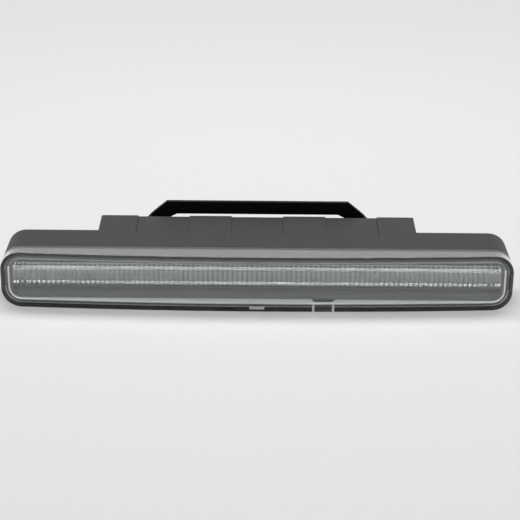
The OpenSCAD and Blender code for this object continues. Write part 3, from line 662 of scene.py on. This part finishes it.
def softened(node, name, material, edge_mm):
    bm = bmesh.new()
    bm.from_mesh(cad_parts[node].data)
    bmesh.ops.scale(bm, vec=(1 / MM, 1 / MM, 1 / MM), verts=bm.verts)
    bmesh.ops.remove_doubles(bm, verts=bm.verts, dist=1e-3)
    bmesh.ops.dissolve_limit(
        bm, angle_limit=radians(0.5), use_dissolve_boundaries=False, verts=bm.verts, edges=bm.edges
    )
    return finish_piece(name, bm, [material], node, edge_mm)


softened("rear_housing", "moulded_housing", housing_plastic, 0.25)
softened("mounting_bracket", "folded_bracket", bracket_coat, 0.25)
softened("bracket_screws", "bracket_screw_pair", plated_steel, 0.15)
softened("bracket_washers", "bracket_washer_pair", plated_steel, 0.1)
softened("cable_grommet", "rubber_grommet", seal_rubber, 0.2)
softened("vent_cap", "vent_screw_cap", chip_epoxy, 0.2)


# The studio: a pale floor that passes into a pale backdrop, and two soft lamps


def seen_ray(holder):
    """1 for the rays that see the surroundings, direct, in a shine or through clear plastic."""
    path = add(holder, "ShaderNodeLightPath")
    clear_or_camera = add(
        holder,
        "ShaderNodeMath",
        {"operation": "MAXIMUM"},
        {0: path.outputs["Is Camera Ray"], 1: path.outputs["Is Transmission Ray"]},
    )
    seen = add(
        holder,
        "ShaderNodeMath",
        {"operation": "MAXIMUM"},
        {0: clear_or_camera.outputs[0], 1: path.outputs["Is Glossy Ray"]},
    )
    return seen.outputs[0]


floor_bm = bmesh.new()
corners = bmesh.ops.create_grid(floor_bm, x_segments=1, y_segments=1, size=3)["verts"]
# A hair under the lamp, so that light inside its clear cover turns round at the cover's own face
bmesh.ops.translate(floor_bm, vec=(0, 0, -0.05 * MM), verts=corners)
floor_mesh = bpy.data.meshes.new("studio_floor")
floor_bm.to_mesh(floor_mesh)
floor_bm.free()
m, place = blank_material("pale_paper_floor")
fibres = add(m, "ShaderNodeTexNoise", {"Scale": 1 / (4 * MM), "Detail": 2.0}, {"Vector": place})
paper = add(
    m,
    "ShaderNodeMix",
    {"data_type": "RGBA", 6: linear("#f4f4f4"), 7: linear("#f7f7f7")},
    {0: fibres.outputs["Fac"]},
)
sheet = add(m, "ShaderNodeBsdfPrincipled", {"Roughness": 0.8}, {"Base Color": paper.outputs[2]})
# Far from the lamp the paper looks like an evenly lit backdrop, but sheds no light on the lamp
far = add(m, "ShaderNodeVectorMath", {"operation": "LENGTH"}, {0: place})
away = add(m, "ShaderNodeMapRange", {"From Min": 0.25, "From Max": 0.7}, {"Value": far.outputs["Value"]})
share = add(m, "ShaderNodeMath", {"operation": "MULTIPLY"}, {0: away.outputs[0], 1: seen_ray(m)})
glow = add(m, "ShaderNodeEmission", {"Color": (1, 1, 1, 1), "Strength": 0.8})
ground = add(m, "ShaderNodeMixShader", links={0: share.outputs[0], 1: sheet.outputs[0], 2: glow.outputs[0]})
floor_mesh.materials.append(finish_material(m, ground.outputs[0]))
floor = bpy.data.objects.new("studio_floor", floor_mesh)
bpy.context.scene.collection.objects.link(floor)

world = bpy.data.worlds.new("white_studio")
world.use_nodes = True
world.node_tree.nodes.clear()
strength = add(world, "ShaderNodeMapRange", {"To Min": 0.12, "To Max": 0.95}, {"Value": seen_ray(world)})
sky = add(world, "ShaderNodeBackground", {"Color": (1, 1, 1, 1)}, {"Strength": strength.outputs[0]})
add(world, "ShaderNodeOutputWorld", links={"Surface": sky.outputs[0]})
bpy.context.scene.world = world


MIDDLE = MM * Vector((0, SEAM_Y, MID_Z))


def softbox(name, offset, width, height, watts):
    """A soft lamp at an offset in metres from the object's middle, at which it looks."""
    lamp = bpy.data.lights.new(name, "AREA")
    lamp.shape = "RECTANGLE"
    lamp.size, lamp.size_y = width, height
    lamp.energy = watts
    holder = bpy.data.objects.new(name, lamp)
    bpy.context.scene.collection.objects.link(holder)
    place = MIDDLE + Vector(offset)
    holder.location = place
    holder.rotation_euler = (MIDDLE - place).to_track_quat("-Z", "Y").to_euler()


softbox("back_light", (0, 0.36, 0.85), 1.2, 0.3, 6.1)
softbox("front_light", (0, -0.45, 0.95), 1.4, 0.5, 3.9)

# The camera stands at the photograph's height and angle, and its shift is in the frame's pixels

FRAME_PX = 520
CAMERA_M = 0.7
CAMERA_RISE = radians(25)
CAMERA_ROLL = radians(0.48)

camera = bpy.data.cameras.new("camera")
camera.lens = 112.4
camera.sensor_width = 36
camera.shift_x = 3 / FRAME_PX
camera.shift_y = 14.3 / FRAME_PX
viewpoint = bpy.data.objects.new("camera", camera)
bpy.context.scene.collection.objects.link(viewpoint)
viewpoint.location = MIDDLE + CAMERA_M * Vector((0, -cos(CAMERA_RISE), sin(CAMERA_RISE)))
viewpoint.rotation_mode = "QUATERNION"
tilt = Quaternion((1, 0, 0), radians(90) - CAMERA_RISE)
viewpoint.rotation_quaternion = tilt @ Quaternion((0, 0, 1), CAMERA_ROLL)
bpy.context.scene.camera = viewpoint

bpy.context.scene.view_settings.view_transform = "Standard"
